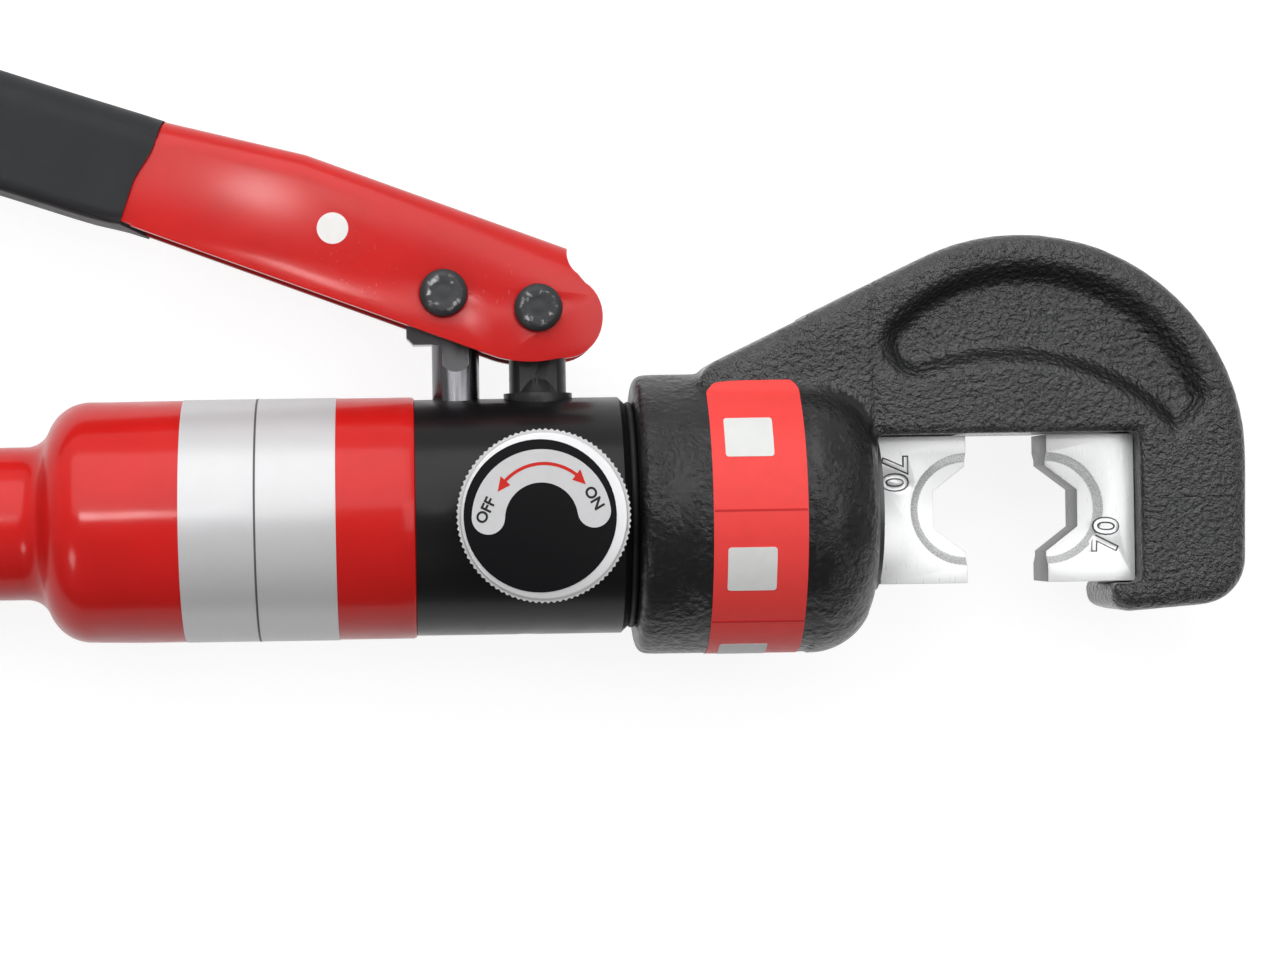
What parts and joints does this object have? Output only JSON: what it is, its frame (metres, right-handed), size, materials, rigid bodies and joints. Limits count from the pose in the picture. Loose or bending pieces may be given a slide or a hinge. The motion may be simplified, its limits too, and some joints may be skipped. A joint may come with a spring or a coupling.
{
  "type": "hydraulic hand crimping tool",
  "caption": "Hand pumped hydraulic crimper: C head with hexagon dies, red reservoir handle, pump lever and release knob, for pressing cable lugs.",
  "frame": {"origin": "middle of the fixed die's face, on the ram axis", "axes": "+X along the ram towards the jaw, +Y towards the pump lever, +Z towards the release knob"},
  "size_m": [0.321, 0.1367, 0.06],
  "materials": {
    "body_black": "satin black",
    "cast_black": "black coated casting",
    "red_paint": "gloss red",
    "grip_black": "soft satin sleeve",
    "die_steel": "zinc plated",
    "bright_steel": "ground",
    "spring_steel": "drawn wire",
    "dark_steel": "black oxide",
    "pin_dark": "black oxide, scuffed",
    "knob_aluminium": "satin",
    "brass": "turned",
    "rubber": "moulded",
    "polymer": "turned"
  },
  "bodies": {
    "pump": {"pump_body": "body_black", "fulcrum_post": "body_black", "spring_bolt": "dark_steel", "plunger_seal": "rubber", "dust_ring": "rubber", "suction_plug": "brass", "suction_ball": "bright_steel", "suction_spring": "spring_steel", "delivery_plug": "brass", "delivery_ball": "bright_steel", "delivery_spring": "spring_steel", "relief_screw": "dark_steel", "relief_ball": "bright_steel", "relief_spring": "spring_steel", "reservoir": "red_paint", "reservoir_ring": "rubber", "oil_bladder": "rubber", "bladder_clip": "spring_steel", "handle_grip": "grip_black", "return_spring": "spring_steel"},
    "head": {"c_head": "cast_black", "swivel_ring": "spring_steel", "fixed_die": "die_steel", "fixed_die_ring": "dark_steel"},
    "ram": {"ram": "bright_steel", "ram_seal": "rubber", "backup_ring": "polymer", "ram_nut": "dark_steel", "moving_die": "die_steel", "moving_die_ring": "dark_steel"},
    "lever": {"lever_channel": "red_paint", "lever_grip": "grip_black", "fulcrum_pin": "pin_dark", "plunger_pin": "pin_dark", "fulcrum_clip": "spring_steel", "plunger_clip": "spring_steel", "front_washer": "spring_steel", "rear_washer": "spring_steel"},
    "plunger": {"plunger": "bright_steel"},
    "release": {"release_knob": "knob_aluminium", "release_spindle": "bright_steel", "spindle_seal": "rubber", "knob_screw": "dark_steel"}
  },
  "joints": [
    {"name": "head_swivel", "type": "hinge", "parent": "pump", "child": "head", "pos_m": [-0.0655, 0, 0], "axis": [1, 0, 0], "continuous": true},
    {"name": "ram_slide", "type": "slide", "parent": "head", "child": "ram", "axis": [1, 0, 0], "range_m": [0, 0.0149], "deforming": ["return_spring"]},
    {"name": "lever_pump", "type": "hinge", "parent": "pump", "child": "lever", "pos_m": [-0.0952, 0.039, 0], "axis": [0, 0, 1], "range_deg": [-15, 20]},
    {"name": "plunger_slide", "type": "slide", "parent": "pump", "child": "plunger", "axis": [0, 1, 0], "range_m": [-0.0062, 0.0047]},
    {"name": "release_turn", "type": "hinge", "parent": "pump", "child": "release", "pos_m": [-0.0956, 0, 0.03], "axis": [0, 0, 1], "range_deg": [0, 180]}
  ],
  "couplings": [
    {"joint": "plunger_slide", "follows": "lever_pump", "m_per_rad": -0.01745}
  ]
}
